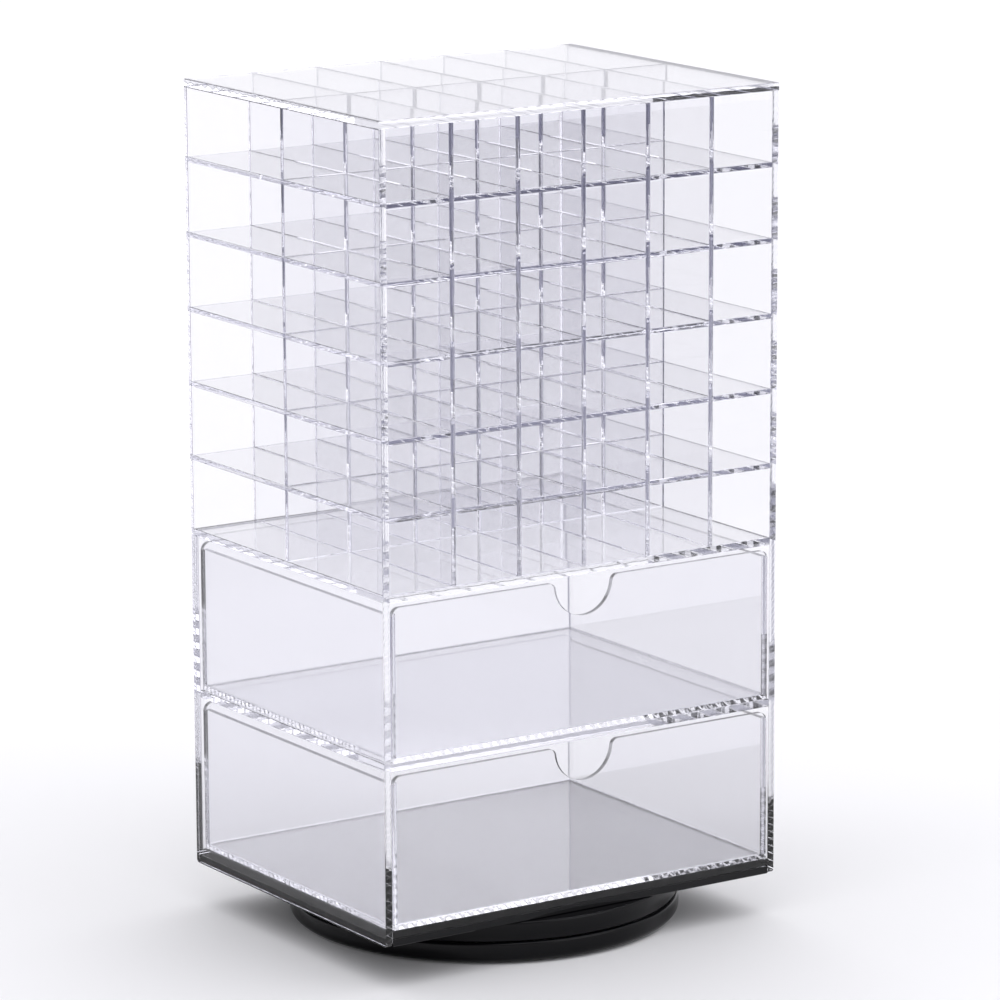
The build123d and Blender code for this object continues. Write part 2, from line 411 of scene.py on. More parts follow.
class NodeSheet:
    """A material's node tree, with short methods that add and join nodes."""

    def __init__(self, name: str) -> None:
        """Starts a material that holds one main shader.

        Args:
            name: Name of the material.
        """
        self.material = bpy.data.materials.new(name)
        self.material.use_nodes = True
        self.tree = self.material.node_tree
        self.shader = self.tree.nodes["Principled BSDF"]
        self.output = self.tree.nodes["Material Output"]

    def add(self, kind: str, **settings: object) -> bpy.types.Node:
        """Adds a node and sets its properties.

        Args:
            kind: Blender's type name of the node.
            **settings: Properties by name.

        Returns:
            The new node.
        """
        node = self.tree.nodes.new(kind)
        for key, value in settings.items():
            setattr(node, key, value)
        return node

    def join(self, source: Socket, target: Socket) -> None:
        """Joins an output socket to an input socket."""
        self.tree.links.new(source, target)

    def constants(self, **values: object) -> None:
        """Sets constant inputs on the main shader, with underscores for the blanks in their names."""
        for key, value in values.items():
            self.shader.inputs[key.replace("_", " ")].default_value = value

    def chart(self, size: Triple, turn: float) -> Socket:
        """Coordinates from the piece's own map, turned and then measured in the given sizes.

        Args:
            size: Length of one unit of the pattern along its own axes, in metres.
            turn: Angle of the pattern's axes about the map's normal, in radians.

        Returns:
            The vector socket.
        """
        place = self.add("ShaderNodeUVMap", uv_map="chart")
        mapping = self.add("ShaderNodeMapping", vector_type="TEXTURE")
        mapping.inputs["Rotation"].default_value = (0.0, 0.0, turn)
        mapping.inputs["Scale"].default_value = size
        self.join(place.outputs["UV"], mapping.inputs["Vector"])
        return mapping.outputs["Vector"]

    def solid(self, repeats: float) -> Socket:
        """Object coordinates, scaled alike along each axis.

        Args:
            repeats: Repeats per metre.

        Returns:
            The vector socket.
        """
        place = self.add("ShaderNodeTexCoord")
        mapping = self.add("ShaderNodeMapping")
        mapping.inputs["Scale"].default_value = (repeats, repeats, repeats)
        self.join(place.outputs["Object"], mapping.inputs["Vector"])
        return mapping.outputs["Vector"]

    def noise(self, where: Socket, detail: float) -> Socket:
        """Smooth noise at the given coordinates.

        Args:
            where: Vector socket to read.
            detail: Octaves.

        Returns:
            The noise value's socket.
        """
        node = self.add("ShaderNodeTexNoise")
        node.inputs["Scale"].default_value = 1.0
        node.inputs["Detail"].default_value = detail
        self.join(where, node.inputs["Vector"])
        return node.outputs["Fac"]

    def spread(self, value: Socket, source: Pair, target: Pair) -> Socket:
        """Maps a value from one range onto another, held at its ends.

        Args:
            value: Socket to map.
            source: Range of the value.
            target: Range of the result.

        Returns:
            The mapped value's socket.
        """
        node = self.add("ShaderNodeMapRange")
        node.inputs["From Min"].default_value, node.inputs["From Max"].default_value = source
        node.inputs["To Min"].default_value, node.inputs["To Max"].default_value = target
        self.join(value, node.inputs["Value"])
        return node.outputs["Result"]

    def wave(self, where: Socket, unevenness: float) -> Socket:
        """Sine bands across the first axis, one to each unit of length.

        Args:
            where: Vector socket to read.
            unevenness: How far noise pushes the bands about.

        Returns:
            The height's socket.
        """
        node = self.add("ShaderNodeTexWave", bands_direction="X")
        node.inputs["Scale"].default_value = ONE_BAND
        node.inputs["Distortion"].default_value = unevenness
        node.inputs["Detail"].default_value = 1.0
        self.join(where, node.inputs["Vector"])
        return node.outputs["Fac"]

    def power(self, value: Socket, exponent: float) -> Socket:
        """Raises a value to a constant power.

        Args:
            value: Socket to raise.
            exponent: The power.

        Returns:
            The result's socket.
        """
        node = self.add("ShaderNodeMath", operation="POWER")
        node.inputs[1].default_value = exponent
        self.join(value, node.inputs[0])
        return node.outputs[0]

    def bump(self, height: Socket, depth: float) -> None:
        """Presses a height into the main shader's normal, over any relief that it has already.

        Args:
            height: Height socket, from 0 to 1.
            depth: Depth of the relief in metres.
        """
        node = self.add("ShaderNodeBump")
        node.inputs["Strength"].default_value = 1.0
        node.inputs["Distance"].default_value = depth
        self.join(height, node.inputs["Height"])
        normal = self.shader.inputs["Normal"]
        if normal.is_linked:
            self.join(normal.links[0].from_socket, node.inputs["Normal"])
        self.join(node.outputs["Normal"], normal)

    def vary_roughness(self, value: Socket, source: Pair, roughness: Pair) -> None:
        """Lets a value drive the main shader's roughness.

        Args:
            value: Socket that drives it.
            source: Range of the value.
            roughness: Roughness at the two ends of that range.
        """
        self.join(self.spread(value, source, roughness), self.shader.inputs["Roughness"])


def add_loss(sheet: NodeSheet) -> None:
    """Gives a clear finish the weak absorption that long paths through the sheet show.

    Args:
        sheet: The finish's nodes.
    """
    loss = sheet.add("ShaderNodeVolumeAbsorption")
    loss.inputs["Color"].default_value = LOSS_COLOUR
    loss.inputs["Density"].default_value = LOSS_PER_METRE
    sheet.join(loss.outputs["Volume"], sheet.output.inputs["Volume"])


@dataclass(frozen=True)
class ClearSheet:
    """Polished faces of clear cast sheet.

    The gloss weakens the mirror image that the faces show from outside, as a polarising filter
    before the lens does.
    """

    name: str = "clear_cast_sheet"
    tint: Colour = (0.94, 0.939, 0.953, 1.0)
    gloss: Colour = (0.3, 0.3, 0.3, 1.0)

    def build(self) -> bpy.types.Material:
        """Makes the clear material: full transmission, no roughness, and weak absorption.

        Returns:
            The material.
        """
        sheet = NodeSheet(self.name)
        sheet.constants(Base_Color=self.tint, Specular_Tint=self.gloss, Roughness=0.0)
        sheet.constants(IOR=SHEET_REFRACTION, Transmission_Weight=1.0)
        add_loss(sheet)
        return sheet.material


@dataclass(frozen=True)
class CutEdge:
    """Cut edge of clear sheet, with the slanting wave, the ridges and the scratches of the cutter.

    The pitch, the depths and the scratch size are in metres, and the lean of the marks is in
    radians. The clear share of the light passes, less the frost at the top of each ridge.
    """

    name: str
    pitch: float
    wave_depth: float
    scratch_depth: float
    ridge_depth: float = 0.0
    scratch_size: Triple = (0.35 * MM, 3.0 * MM, 1.0)
    lean: float = 0.45
    unevenness: float = 1.0
    ridge_sharpness: float = 40.0
    clear_share: float = 1.0
    roughness: float = 0.0
    frost: float = 0.0
    tint: Colour = (0.99, 0.99, 1.0, 1.0)

    def build(self) -> bpy.types.Material:
        """Makes the cut edge. Its relief is a sine along the slant, a high power of it, and noise.

        Returns:
            The material.
        """
        edge = NodeSheet(self.name)
        edge.constants(Base_Color=self.tint, IOR=SHEET_REFRACTION, Roughness=self.roughness)
        wave = edge.wave(edge.chart((self.pitch, self.pitch, 1.0), self.lean), self.unevenness)
        scratches = edge.noise(edge.chart(self.scratch_size, self.lean), 2.0)
        edge.bump(wave, self.wave_depth)
        ridge = edge.power(wave, self.ridge_sharpness)
        clear = edge.spread(ridge, (0.0, 1.0), (self.clear_share, self.clear_share - self.frost))
        edge.join(clear, edge.shader.inputs["Transmission Weight"])
        edge.bump(ridge, self.ridge_depth)
        edge.bump(scratches, self.scratch_depth)
        add_loss(edge)
        return edge.material


OPEN_EDGE = CutEdge(
    "polished_open_edge", pitch=6.0 * MM, wave_depth=0.008 * MM, scratch_depth=0.0008 * MM
)
JOINT_EDGE = CutEdge(
    "cemented_joint_edge", pitch=4.5 * MM, wave_depth=0.001 * MM, scratch_depth=0.0003 * MM
)
RUBBED_EDGE = CutEdge(
    "rubbed_drawer_edge",
    pitch=4.5 * MM,
    wave_depth=0.006 * MM,
    scratch_depth=0.001 * MM,
    ridge_depth=0.002 * MM,
    clear_share=0.6,
    roughness=0.12,
)
SAWN_EDGE = CutEdge(
    "sawn_drawer_edge",
    pitch=3.4 * MM,
    wave_depth=0.075 * MM,
    scratch_depth=0.002 * MM,
    ridge_depth=0.01 * MM,
    unevenness=2.2,
)
PANEL_EDGE = CutEdge(
    "sawn_panel_edge",
    pitch=2.2 * MM,
    wave_depth=0.003 * MM,
    scratch_depth=0.001 * MM,
    ridge_depth=0.004 * MM,
    frost=0.16,
)
# In the order of SheetFinish.
CLEAR_FINISHES = (ClearSheet(), OPEN_EDGE, JOINT_EDGE, RUBBED_EDGE, SAWN_EDGE, PANEL_EDGE)


@dataclass(frozen=True)
class BlackSheet:
    """Black sheet with rubbed patches. Its cemented faces have no gloss of their own."""

    name: str
    gloss: float
    colour: Colour = (0.004, 0.004, 0.0048, 1.0)
    patches: float = 60.0
    roughness: Pair = (0.03, 0.09)

    def build(self) -> bpy.types.Material:
        """Makes the black sheet, whose roughness varies a little with the rubbed patches.

        Returns:
            The material.
        """
        sheet = NodeSheet(self.name)
        sheet.constants(Base_Color=self.colour, IOR=SHEET_REFRACTION, Specular_IOR_Level=self.gloss)
        rubbed = sheet.noise(sheet.solid(self.patches), 3.0)
        sheet.vary_roughness(rubbed, (0.4, 0.7), self.roughness)
        return sheet.material


BLACK_SHEET = BlackSheet("gloss_black_sheet", 0.25)
BLACK_JOINT = BlackSheet("cemented_black_sheet", 0.0)


@dataclass(frozen=True)
class BlackMoulding:
    """Smooth black moulded plastic with a soft sheen and the faint ripple of its mould."""

    name: str = "black_moulded_plastic"
    colour: Colour = (0.0025, 0.0025, 0.0032, 1.0)
    refraction: float = 1.5
    gloss: float = 0.16
    patches: float = 40.0
    roughness: Pair = (0.07, 0.16)
    grain: float = 2600.0
    relief: float = 0.002 * MM

    def build(self) -> bpy.types.Material:
        """Makes the moulding: fine grain in its relief and broad patches in its roughness.

        Returns:
            The material.
        """
        moulding = NodeSheet(self.name)
        moulding.constants(Base_Color=self.colour, IOR=self.refraction, Specular_IOR_Level=self.gloss)
        patches = moulding.noise(moulding.solid(self.patches), 3.0)
        moulding.vary_roughness(patches, (0.35, 0.7), self.roughness)
        moulding.bump(moulding.noise(moulding.solid(self.grain), 1.0), self.relief)
        return moulding.material


@dataclass(frozen=True)
class PlainFinish:
    """A finish for the small pieces: a colour, a metal share, and grain in roughness and relief.

    The grain is in repeats per metre, and the relief is in metres.
    """

    name: str
    colour: Colour
    metal: float
    roughness: Pair
    grain: float
    relief: float

    def build(self) -> bpy.types.Material:
        """Makes the finish.

        Returns:
            The material.
        """
        finish = NodeSheet(self.name)
        finish.constants(Base_Color=self.colour, Metallic=self.metal)
        grain = finish.noise(finish.solid(self.grain), 3.0)
        finish.vary_roughness(grain, (0.3, 0.7), self.roughness)
        finish.bump(grain, self.relief)
        return finish.material


BEARING_STEEL = PlainFinish(
    "polished_bearing_steel",
    (0.72, 0.72, 0.74, 1.0),
    metal=1.0,
    roughness=(0.06, 0.14),
    grain=900.0,
    relief=0.001 * MM,
)
ZINC_STEEL = PlainFinish(
    "zinc_plated_steel",
    (0.6, 0.6, 0.62, 1.0),
    metal=1.0,
    roughness=(0.22, 0.4),
    grain=700.0,
    relief=0.005 * MM,
)
CAGE_PLASTIC = PlainFinish(
    "natural_nylon",
    (0.78, 0.76, 0.7, 1.0),
    metal=0.0,
    roughness=(0.4, 0.55),
    grain=500.0,
    relief=0.005 * MM,
)
FOAM_TAPE = PlainFinish(
    "white_foam_tape",
    (0.82, 0.82, 0.8, 1.0),
    metal=0.0,
    roughness=(0.7, 0.9),
    grain=1800.0,
    relief=0.02 * MM,
)
FOOT_RUBBER = PlainFinish(
    "black_foot_rubber",
    (0.02, 0.02, 0.021, 1.0),
    metal=0.0,
    roughness=(0.55, 0.75),
    grain=1500.0,
    relief=0.015 * MM,
)


# ---------------------------------------------------------------- sub-assemblies


@dataclass(frozen=True)
class Limits:
    """Lowest and highest corner of a node or a body, in metres."""

    low: np.ndarray
    high: np.ndarray

    @classmethod
    def of(cls, *nodes: str) -> "Limits":
        """Limits of one or several nodes at rest."""
        boxes = np.array([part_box(node) for node in nodes])
        return cls(boxes[:, 0].min(axis=0), boxes[:, 1].max(axis=0))

    def sunk(self, depth: float, within: "Limits") -> "Limits":
        """Grown by the depth of a cemented joint on every side, but not past the given limits."""
        low = np.maximum(self.low - depth, within.low)
        return Limits(low, np.minimum(self.high + depth, within.high))


@dataclass
class SheetWork:
    """What every sub-assembly of clear sheet shares.

    The finishes are in the order of SheetFinish. Cemented joints sink by the joint's depth. An
    edge is on the outside where it lies within the nearness of the limits of the whole.
    """

    finishes: tuple[bpy.types.Material, ...]
    body: Body = Body.TOWER
    joint: float = 0.01 * MM
    corner: float = 0.18 * MM
    nearness: float = 0.05 * MM

    def edge_finish(self, middle: np.ndarray, normal: np.ndarray) -> np.ndarray:
        """Says how each cut edge is finished: open where it lies on the whole's outside, else cemented.

        Args:
            middle: Middle of each side, one row each.
            normal: Outward normal of each side, one row each.

        Returns:
            A SheetFinish for each side.
        """
        whole = self.whole()
        near = np.minimum(np.abs(middle - whole.low), np.abs(middle - whole.high)) < self.nearness
        outside = (near & (np.abs(normal) > FACES_ALONG))[:, 1:].any(axis=1)
        return np.where(outside, SheetFinish.OPEN_EDGE, SheetFinish.CEMENTED_EDGE)

    def whole(self) -> Limits:
        """Limits of the whole sub-assembly."""
        raise NotImplementedError

    def sunk_limits(self, node: str) -> Limits:
        """Limits of a sheet, sunk into its neighbours but not past the outside of the whole."""
        return Limits.of(node).sunk(self.joint, self.whole())

    def slab(
        self, node: str, facing: Facing, limits: Limits, outline: Optional[np.ndarray] = None
    ) -> bpy.types.Object:
        """Makes one clear sheet in place of its node.

        Args:
            node: Node that it stands for.
            facing: Axis that the sheet faces along.
            limits: Its limits, with the sunk joints.
            outline: Its outline in its own plane, or None for a plain rectangle.

        Returns:
            The piece.
        """
        axes = list(facing.plane)
        shape = rectangle(limits.low[axes], limits.high[axes]) if outline is None else outline
        sheet = Slab(shape, facing, limits.low[facing.value], limits.high[facing.value], self.corner)
        mesh = sheet.mesh(f"clear_{node}", self.edge_finish(*sheet.sides()))
        return add_piece(mesh, self.body, self.finishes, [node])


@dataclass
class Tower(SheetWork):
    """The box, the partition, the two grids of slots and the two drawer bays."""

    columns: int = 6
    rows: int = 6
    lap_gap: float = 0.05 * MM
    side_corner: float = 1.5 * MM
    panel_reach: float = 3.0 * MM

    def whole(self) -> Limits:
        """Limits of the whole box of sheet."""
        return Limits.of("top_plate", "side_panel_left", "side_panel_right", "base_plate")

    def edge_finish(self, middle: np.ndarray, normal: np.ndarray) -> np.ndarray:
        """Adds the sawn finish of the side panels' front and back edges.

        Args:
            middle: Middle of each side, one row each.
            normal: Outward normal of each side, one row each.

        Returns:
            A SheetFinish for each side.
        """
        in_panel = np.abs(middle[:, 0]) > self.whole().high[0] - self.panel_reach
        sawn = in_panel & (np.abs(normal[:, 1]) > FACES_ALONG)
        return np.where(sawn, SheetFinish.PANEL_EDGE, super().edge_finish(middle, normal))

    def build(self) -> None:
        """Makes every clear sheet of the tower."""
        for node, facing in (
            ("top_plate", Facing.Z),
            ("mid_partition", Facing.Y),
            ("bay_roof", Facing.Z),
            ("bay_shelf", Facing.Z),
            ("bay_floor", Facing.Z),
            ("bay_back", Facing.Y),
        ):
            self.slab(node, facing, self.sunk_limits(node))
        for node in ("side_panel_left", "side_panel_right"):
            self.side_panel(node)
        for side in Side:
            for number in range(1, self.columns):
                self.divider(f"{side.value}_divider_{number}", side)
            for number in range(1, self.rows):
                self.shelf(f"{side.value}_shelf_{number}", side)

    def side_panel(self, node: str) -> None:
        """Makes a side panel, whose two lower corners are quarter circles.

        Args:
            node: Node of the panel.
        """
        limits = self.sunk_limits(node)
        (_, y0, z0), (_, y1, z1) = limits.low, limits.high
        r = self.side_corner
        outline = np.vstack(
            (
                arc((y0 + r, z0 + r), r, math.pi, 1.5 * math.pi, 12),
                arc((y1 - r, z0 + r), r, 1.5 * math.pi, 2.0 * math.pi, 12),
                [[y1, z1], [y0, z1]],
            )
        )
        self.slab(node, Facing.X, limits, outline)

    def lap_cuts(self, side: Side, kind: str, axis: int) -> np.ndarray:
        """Limits of the half-lap cuts that let the crossing sheets through.

        Args:
            side: Side of the tower.
            kind: divider or shelf, the crossing sheets.
            axis: Axis that their thickness lies along.

        Returns:
            One row of limits for each crossing sheet.
        """
        count = self.columns if kind == "divider" else self.rows
        boxes = [Limits.of(f"{side.value}_{kind}_{number}") for number in range(1, count)]
        return np.array(
            [[box.low[axis] - self.lap_gap, box.high[axis] + self.lap_gap] for box in boxes]
        )

    def lap_middle(self, side: Side) -> float:
        """Place along Y at which the two halves of each half-lap joint meet."""
        box = Limits.of(f"{side.value}_shelf_1")
        return float(box.low[1] + box.high[1]) / 2.0

    def divider(self, node: str, side: Side) -> None:
        """Makes an upright divider, cut from the partition's side to pass the shelves.

        Args:
            node: Node of the divider.
            side: Side of the tower.
        """
        limits = self.sunk_limits(node)
        outer, inner = side.outer_inner(limits)
        cuts = self.lap_cuts(side, "shelf", Facing.Z.value)
        middle = self.lap_middle(side) + math.copysign(self.lap_gap, outer)
        outline = comb((limits.low[2], limits.high[2]), outer, inner, middle, cuts)
        self.slab(node, Facing.X, limits, outline[:, ::-1])

    def shelf(self, node: str, side: Side) -> None:
        """Makes a level shelf, cut from its outer side to pass the dividers.

        Args:
            node: Node of the shelf.
            side: Side of the tower.
        """
        limits = self.sunk_limits(node)
        outer, inner = side.outer_inner(limits)
        cuts = self.lap_cuts(side, "divider", Facing.X.value)
        middle = self.lap_middle(side) - math.copysign(self.lap_gap, outer)
        outline = comb((limits.low[0], limits.high[0]), inner, outer, middle, cuts)
        self.slab(node, Facing.Z, limits, outline)


@dataclass
class Drawer(SheetWork):
    """One drawer: a bottom sheet, two ends and two sides, and a finger notch in its front."""

    corner: float = 0.07 * MM
    corner_radius: float = 3.0 * MM
    notch_radius: float = 11.5 * MM
    notch_sink: float = 1.0 * MM
    shoulder_radius: float = 2.6 * MM
    rubbed_rise: float = 5.0 * MM
    rubbed_upturn: float = 0.05

    def nodes(self) -> list[str]:
        """Names of the drawer's nodes."""
        return [f"{self.body.value}_{part}" for part in ("front", "back", "left", "right", "bottom")]

    def whole(self) -> Limits:
        """Limits of the whole drawer."""
        return Limits.of(*self.nodes())

    def edge_finish(self, middle: np.ndarray, normal: np.ndarray) -> np.ndarray:
        """Adds the rubbed finish of the upper edges and the sawn finish of the bottom's two ends.

        An edge is rubbed where it looks up at all and lies well over the bed.

        Args:
            middle: Middle of each side, one row each.
            normal: Outward normal of each side, one row each.

        Returns:
            A SheetFinish for each side.
        """
        high = middle[:, 2] > self.bed() + self.rubbed_rise
        rubbed = high & (normal[:, 2] > self.rubbed_upturn)
        sawn = (np.abs(normal[:, 1]) > FACES_ALONG) & (middle[:, 2] < self.bed())
        special = SheetFinish.RUBBED_EDGE, SheetFinish.SAWN_EDGE
        return np.select((rubbed, sawn), special, super().edge_finish(middle, normal))

    def bed(self) -> float:
        """Height of the bottom sheet's upper face."""
        return float(Limits.of(f"{self.body.value}_bottom").high[2])

    def build(self) -> None:
        """Makes the five sheets of the drawer."""
        for node in self.nodes():
            limits = self.sunk_limits(node)
            part = node.removeprefix(f"{self.body.value}_")
            if part in ("front", "back"):
                outline = self.end_outline(limits, part == "front")
                self.slab(node, Facing.Y, limits, outline[:, ::-1])
            else:
                self.slab(node, Facing.Z if part == "bottom" else Facing.X, limits)

    def end_outline(self, limits: Limits, notched: bool) -> np.ndarray:
        """Outline of a drawer's end, anticlockwise in x and z.

        The top corners are quarter circles. The notch is a circle's arc, and two small circles
        that touch it and the top edge round its shoulders.

        Args:
            limits: Limits of the end.
            notched: Whether it has the finger notch.

        Returns:
            Points as rows of (x, z).
        """
        half, bottom, top = limits.high[0], limits.low[2], limits.high[2]
        r = self.corner_radius
        right = arc((half - r, top - r), r, 0.0, QUARTER, 16)
        left = arc((r - half, top - r), r, QUARTER, math.pi, 16)
        middle = self.notch(top) if notched else np.empty((0, 2))
        return np.vstack(([[-half, bottom], [half, bottom]], right, middle, left))

    def notch(self, top: float) -> np.ndarray:
        """Finger notch from its right shoulder to its left one.

        Args:
            top: Height of the top edge.

        Returns:
            Points as rows of (x, z).
        """
        reach = self.notch_radius + self.shoulder_radius
        drop = self.shoulder_radius - self.notch_sink
        across = math.sqrt(reach**2 - drop**2)
        meet = math.atan2(drop, across)
        r = self.shoulder_radius
        shoulder = arc((across, top - r), r, QUARTER, math.pi - meet, 12)
        bowl = arc((0.0, top - self.notch_sink), self.notch_radius, -meet, meet - math.pi, 64)[1:-1]
        return np.vstack((shoulder, bowl, shoulder[::-1] * (-1.0, 1.0)))


@dataclass
class Turntable:
    """The two moulded discs, the feet, the rivet, and the black sheet that the tower stands on."""

    sheet: bpy.types.Material
    sheet_joint: bpy.types.Material
    moulding: bpy.types.Material
    rubber: bpy.types.Material
    steel: bpy.types.Material
    joint: float = 0.01 * MM
    wall: float = 3.2 * MM
    plate: float = 2.4 * MM
    bulge: float = 0.3 * MM
    lower_round: float = 2.4 * MM
    lip_round: float = 0.8 * MM
    bore: float = 3.05 * MM
    lid_hole: float = 8.0 * MM
    foot_count: int = 6
    foot_radius: float = 5.5 * MM
    foot_round: float = 0.5 * MM
    foot_steps: int = 48
    rivet_shank: float = 3.0 * MM
    rivet_head: float = 1.4 * MM
    rivet_round: float = 0.5 * MM
    rivet_steps: int = 96
    axis_hole: float = 0.02 * MM

    def build(self) -> None:
        """Makes the black base sheet, both discs, the feet and the rivet."""
        self.base_sheet()
        self.lower_disc()
        self.upper_disc()
        self.feet()
        self.rivet()

    def base_sheet(self) -> None:
        """Makes the black sheet, sunk into the sheets that it is cemented to."""
        whole = Limits.of("base_plate", "side_panel_left", "side_panel_right", "bay_floor")
        limits = Limits.of("base_plate").sunk(self.joint, whole)
        outline = rectangle(limits.low[:2], limits.high[:2])
        sheet = Slab(outline, Facing.Z, limits.low[2], limits.high[2])
        cemented_sides = (np.abs(sheet.sides()[1][:, 0]) > FACES_ALONG).astype(int)
        mesh = sheet.mesh("black_base_sheet", cemented_sides, (0, 1))
        add_piece(mesh, Body.TOWER, (self.sheet, self.sheet_joint), ["base_plate"])

    def side_curve(
        self, radius: float, low: float, high: float, below: float, above: float
    ) -> np.ndarray:
        """Outer side of a disc from its under face to its upper face.

        Between a lower and an upper rounding the radius falls off from the middle of the side by
        the square of the height, so that the band is gently convex.

        Args:
            radius: Greatest radius.
            low: Height of the under face.
            high: Height of the upper face.
            below: Radius of the lower rounding.
            above: Radius of the upper rounding.

        Returns:
            Points as rows of (radius, height), going up.
        """
        middle = (low + high) / 2.0
        height = np.linspace(low + below, high - above, 13)
        side = radius - self.bulge * ((height - middle) / (high - low) * 2.0) ** 2
        lower = arc((side[0] - below, low + below), below, -QUARTER, 0.0, 14)[:-1]
        upper = arc((side[-1] - above, high - above), above, 0.0, QUARTER, 8)[1:]
        return np.vstack((lower, np.column_stack((side, height)), upper))

    def lower_disc(self) -> None:
        """Makes the fixed disc as a tray: floor, convex band and rim."""
        box = Limits.of("turntable_lower_disc")
        radius, low, high = box.high[:2].min(), box.low[2], box.high[2]
        inner, floor = radius - self.wall, low + self.plate
        tray = [[inner, high], [inner, floor], [self.bore, floor], [self.bore, low]]
        band = self.side_curve(radius, low, high, self.lower_round, self.lip_round)
        mesh = Lathe(np.vstack((band, tray))).mesh("turntable_lower_band")
        add_piece(mesh, Body.BASE, (self.moulding,), ["turntable_lower_disc"])

    def upper_disc(self) -> None:
        """Makes the turning disc as an upturned tray: lid, band and skirt."""
        box = Limits.of("turntable_upper_disc")
        radius, low, high = box.high[:2].min(), box.low[2], box.high[2]
        inner, ceiling = radius - self.wall, high - self.plate
        lid = [[self.lid_hole, high], [self.lid_hole, ceiling], [inner, ceiling], [inner, low]]
        band = self.side_curve(radius, low, high, self.lip_round, self.lip_round)
        mesh = Lathe(np.vstack((band, lid))).mesh("turntable_upper_band")
        add_piece(mesh, Body.TOWER, (self.moulding,), ["turntable_upper_disc"])

    def feet(self) -> None:
        """Makes the rubber feet as one piece of turned discs with rounded edges."""
        box = Limits.of("rubber_feet")
        low, high = box.low[2], box.high[2]
        r, hole = self.foot_round, self.axis_hole
        side = np.vstack(
            (
                arc((self.foot_radius - r, low + r), r, -QUARTER, 0.0, 6),
                [[self.foot_radius, high], [hole, high], [hole, low]],
            )
        )
        parts = [Lathe(side, self.foot_steps, (x, y)).arrays() for x, y in self.foot_places()]
        size = len(parts[0][0])
        points = np.vstack([part[0] for part in parts])
        faces = np.vstack([part[1] + size * number for number, part in enumerate(parts)])
        chart = np.vstack([part[2] for part in parts])
        mesh = smooth_mesh("rubber_foot_discs", points, faces, chart)
        add_piece(mesh, Body.BASE, (self.rubber,), ["rubber_feet"])

    def foot_places(self) -> np.ndarray:
        """Works out the feet's centres, evenly round the circle that the widest pair across gives.

        Returns:
            One row of x and y for each foot.
        """
        circle = Limits.of("rubber_feet").high[1] - self.foot_radius
        half_step = math.pi / self.foot_count
        angle = half_step + np.arange(self.foot_count) * (2.0 * half_step)
        return circle * np.column_stack((np.cos(angle), np.sin(angle)))

    def rivet(self) -> None:
        """Makes the pivot's rivet: a shank and a flat head with a rounded rim."""
        box = Limits.of("pivot_pin")
        low, high, head = box.low[2], box.high[2], box.high[0]
        neck, r, hole = low + self.rivet_head, self.rivet_round, self.axis_hole
        shank = [[self.rivet_shank, neck], [self.rivet_shank, high], [hole, high], [hole, low]]
        profile = np.vstack((arc((head - r, low + r), r, -QUARTER, 0.0, 8), [[head, neck]], shank))
        mesh = Lathe(profile, self.rivet_steps).mesh("pivot_rivet")
        add_piece(mesh, Body.BASE, (self.steel,), ["pivot_pin"])


def dress_hidden_nodes() -> None:
    """Gives the nodes that stay as they were packed their finishes."""
    finishes = {
        "bearing_balls": BEARING_STEEL,
        "ball_cage": CAGE_PLASTIC,
        "pivot_washer": ZINC_STEEL,
        "push_nut": ZINC_STEEL,
        "adhesive_ring": FOAM_TAPE,
    }
    made = {finish.name: finish.build() for finish in set(finishes.values())}
    for node, finish in finishes.items():
        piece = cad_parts[node]
        piece.data.materials.clear()
        piece.data.materials.append(made[finish.name])
        LOG.info("%s: %s", node, finish.name)


# ---------------------------------------------------------------- studio


@dataclass(frozen=True)
class Camera:
    """The photograph's view, solved from the box's corners, in metres and degrees."""

    place: Triple = (-0.97958, -1.49553, 0.53647)
    yaw: float = 33.4225
    pitch: float = 12.2997
    roll: float = -0.2532
    lens: float = 190.73
    sensor: float = 36.0
    clip: Pair = (0.1, 100.0)

    def build(self) -> None:
        """Makes the camera: yaw turns it from +Y towards +X, and pitch lowers it."""
        yaw, pitch, roll = (math.radians(angle) for angle in (self.yaw, self.pitch, self.roll))
        flat = math.cos(pitch)
        forward = Vector((math.sin(yaw) * flat, math.cos(yaw) * flat, -math.sin(pitch)))
        level = Vector((math.cos(yaw), -math.sin(yaw), 0.0))
        upright = level.cross(forward)
        right = math.cos(roll) * level + math.sin(roll) * upright
        up = -math.sin(roll) * level + math.cos(roll) * upright
        data = bpy.data.cameras.new("view")
        data.lens = self.lens
        data.sensor_width = self.sensor
        data.clip_start, data.clip_end = self.clip
        camera = bpy.data.objects.new("view", data)
        turn = Matrix((right, up, -forward)).transposed().to_4x4()
        camera.matrix_world = Matrix.Translation(self.place) @ turn
        bpy.context.scene.collection.objects.link(camera)
        bpy.context.scene.camera = camera


@dataclass(frozen=True)
class SkyCard:
    """A round soft-edged card of light or shade in the sky, by direction in degrees.

    The azimuth is 0 towards +Y and rises towards +X.
    """

    azimuth: float
    elevation: float
    full: float
    none: float
    level: float

    @property
    def direction(self) -> Triple:
        """Unit vector towards the card's middle."""
        azimuth, elevation = math.radians(self.azimuth), math.radians(self.elevation)
        flat = math.cos(elevation)
        return math.sin(azimuth) * flat, math.cos(azimuth) * flat, math.sin(elevation)


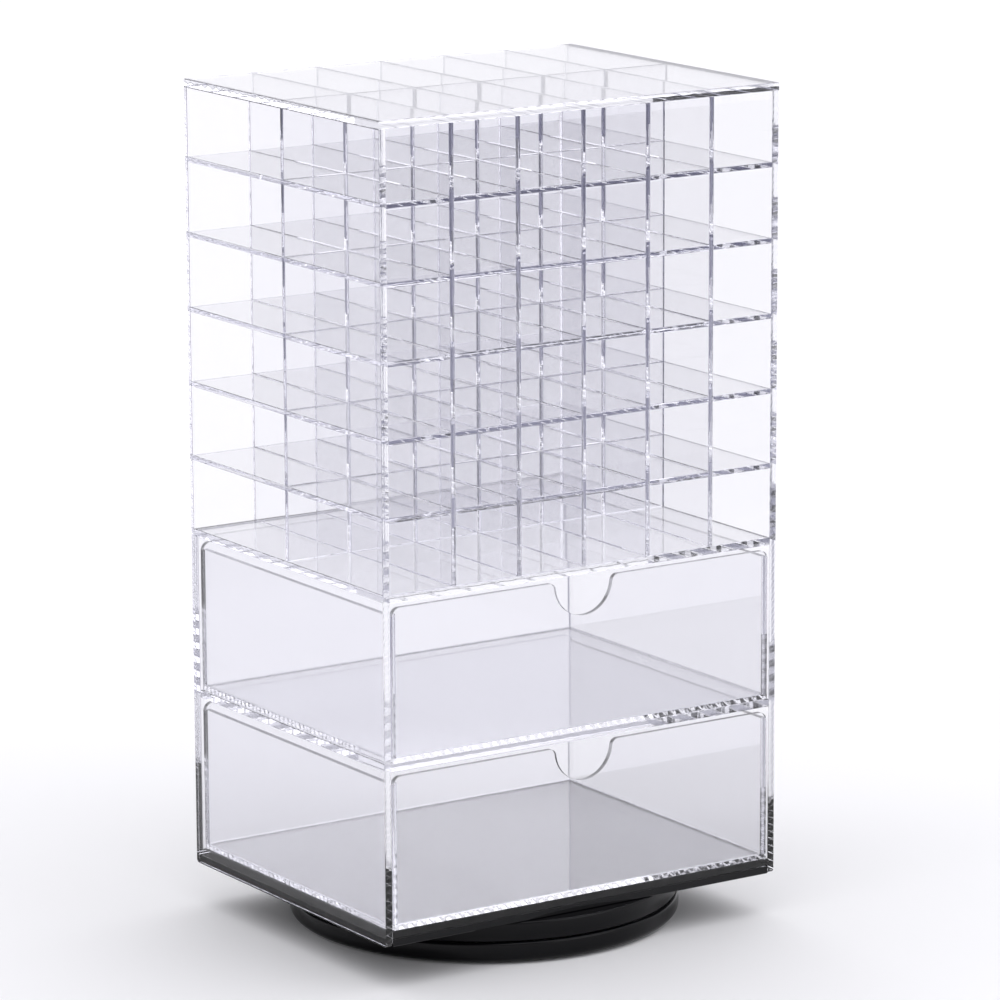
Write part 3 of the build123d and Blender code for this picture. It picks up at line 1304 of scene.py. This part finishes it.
@dataclass(frozen=True)
class Studio:
    """A pale floor without end under an even white sky, with soft cards of light and shade."""

    floor_half: float = 30.0
    floor_colour: Colour = (0.83, 0.83, 0.83, 1.0)
    sky_colour: Colour = (0.975, 0.97, 1.01, 1.0)
    sky: float = 0.97
    bounces: int = 64
    diffuse_bounces: int = 3
    cards: tuple[SkyCard, ...] = (
        SkyCard(azimuth=213.0, elevation=15.0, full=30.0, none=60.0, level=0.6),
        SkyCard(azimuth=0.0, elevation=90.0, full=30.0, none=55.0, level=1.65),
        SkyCard(azimuth=33.0, elevation=40.0, full=24.2, none=25.4, level=1.7),
        SkyCard(azimuth=153.0, elevation=18.0, full=14.0, none=26.0, level=2.0),
        SkyCard(azimuth=-33.0, elevation=16.0, full=16.0, none=24.0, level=0.03),
    )

    def build(self) -> None:
        """Makes the floor, the sky and the light settings."""
        self.floor()
        self.sky_light()
        scene = bpy.context.scene
        scene.view_settings.view_transform = "Standard"
        scene.cycles.max_bounces = self.bounces
        scene.cycles.transmission_bounces = self.bounces
        scene.cycles.glossy_bounces = self.bounces
        scene.cycles.diffuse_bounces = self.diffuse_bounces
        scene.cycles.volume_bounces = 0
        scene.cycles.use_denoising = True

    def floor(self) -> None:
        """Makes the floor as one large matt square."""
        half = self.floor_half
        corners = rectangle(np.array([-half, -half]), np.array([half, half]))
        points = np.column_stack((corners, np.zeros(4)))
        finish = NodeSheet("pale_floor")
        finish.constants(Base_Color=self.floor_colour, Roughness=0.9, Specular_IOR_Level=0.0)
        mesh = mesh_from("floor", points, [[0, 1, 2, 3]], corners, np.zeros(1, int))
        mesh.materials.append(finish.material)
        floor = bpy.data.objects.new("floor", mesh)
        bpy.context.scene.collection.objects.link(floor)

    def sky_light(self) -> None:
        """Makes the sky: an even level, which each card in turn draws towards its own level."""
        world = bpy.data.worlds.new("studio_sky")
        bpy.context.scene.world = world
        world.use_nodes = True
        tree = world.node_tree
        back = tree.nodes["Background"]
        back.inputs["Color"].default_value = self.sky_colour
        place = tree.nodes.new("ShaderNodeTexCoord")
        level: Optional[Socket] = None
        for card in self.cards:
            along = tree.nodes.new("ShaderNodeVectorMath")
            along.operation = "DOT_PRODUCT"
            along.inputs[1].default_value = card.direction
            tree.links.new(place.outputs["Generated"], along.inputs[0])
            share = tree.nodes.new("ShaderNodeMapRange")
            share.interpolation_type = "SMOOTHSTEP"
            share.inputs["From Min"].default_value = math.cos(math.radians(card.none))
            share.inputs["From Max"].default_value = math.cos(math.radians(card.full))
            tree.links.new(along.outputs["Value"], share.inputs["Value"])
            blend = tree.nodes.new("ShaderNodeMix")
            blend.inputs[2].default_value, blend.inputs[3].default_value = self.sky, card.level
            tree.links.new(share.outputs["Result"], blend.inputs[0])
            if level is not None:
                tree.links.new(level, blend.inputs[2])
            level = blend.outputs[0]
        tree.links.new(level, back.inputs["Strength"])


def main() -> None:
    """Builds the studio and the object in order."""
    logging.basicConfig(level=logging.INFO, format="%(name)s %(message)s")
    Camera().build()
    Studio().build()
    clear = tuple(finish.build() for finish in CLEAR_FINISHES)
    Tower(clear).build()
    Drawer(clear, Body.UPPER_DRAWER).build()
    Drawer(clear, Body.LOWER_DRAWER).build()
    black = BLACK_SHEET.build(), BLACK_JOINT.build(), BlackMoulding().build()
    Turntable(*black, FOOT_RUBBER.build(), ZINC_STEEL.build()).build()
    dress_hidden_nodes()


if __name__ == "__main__":
    main()
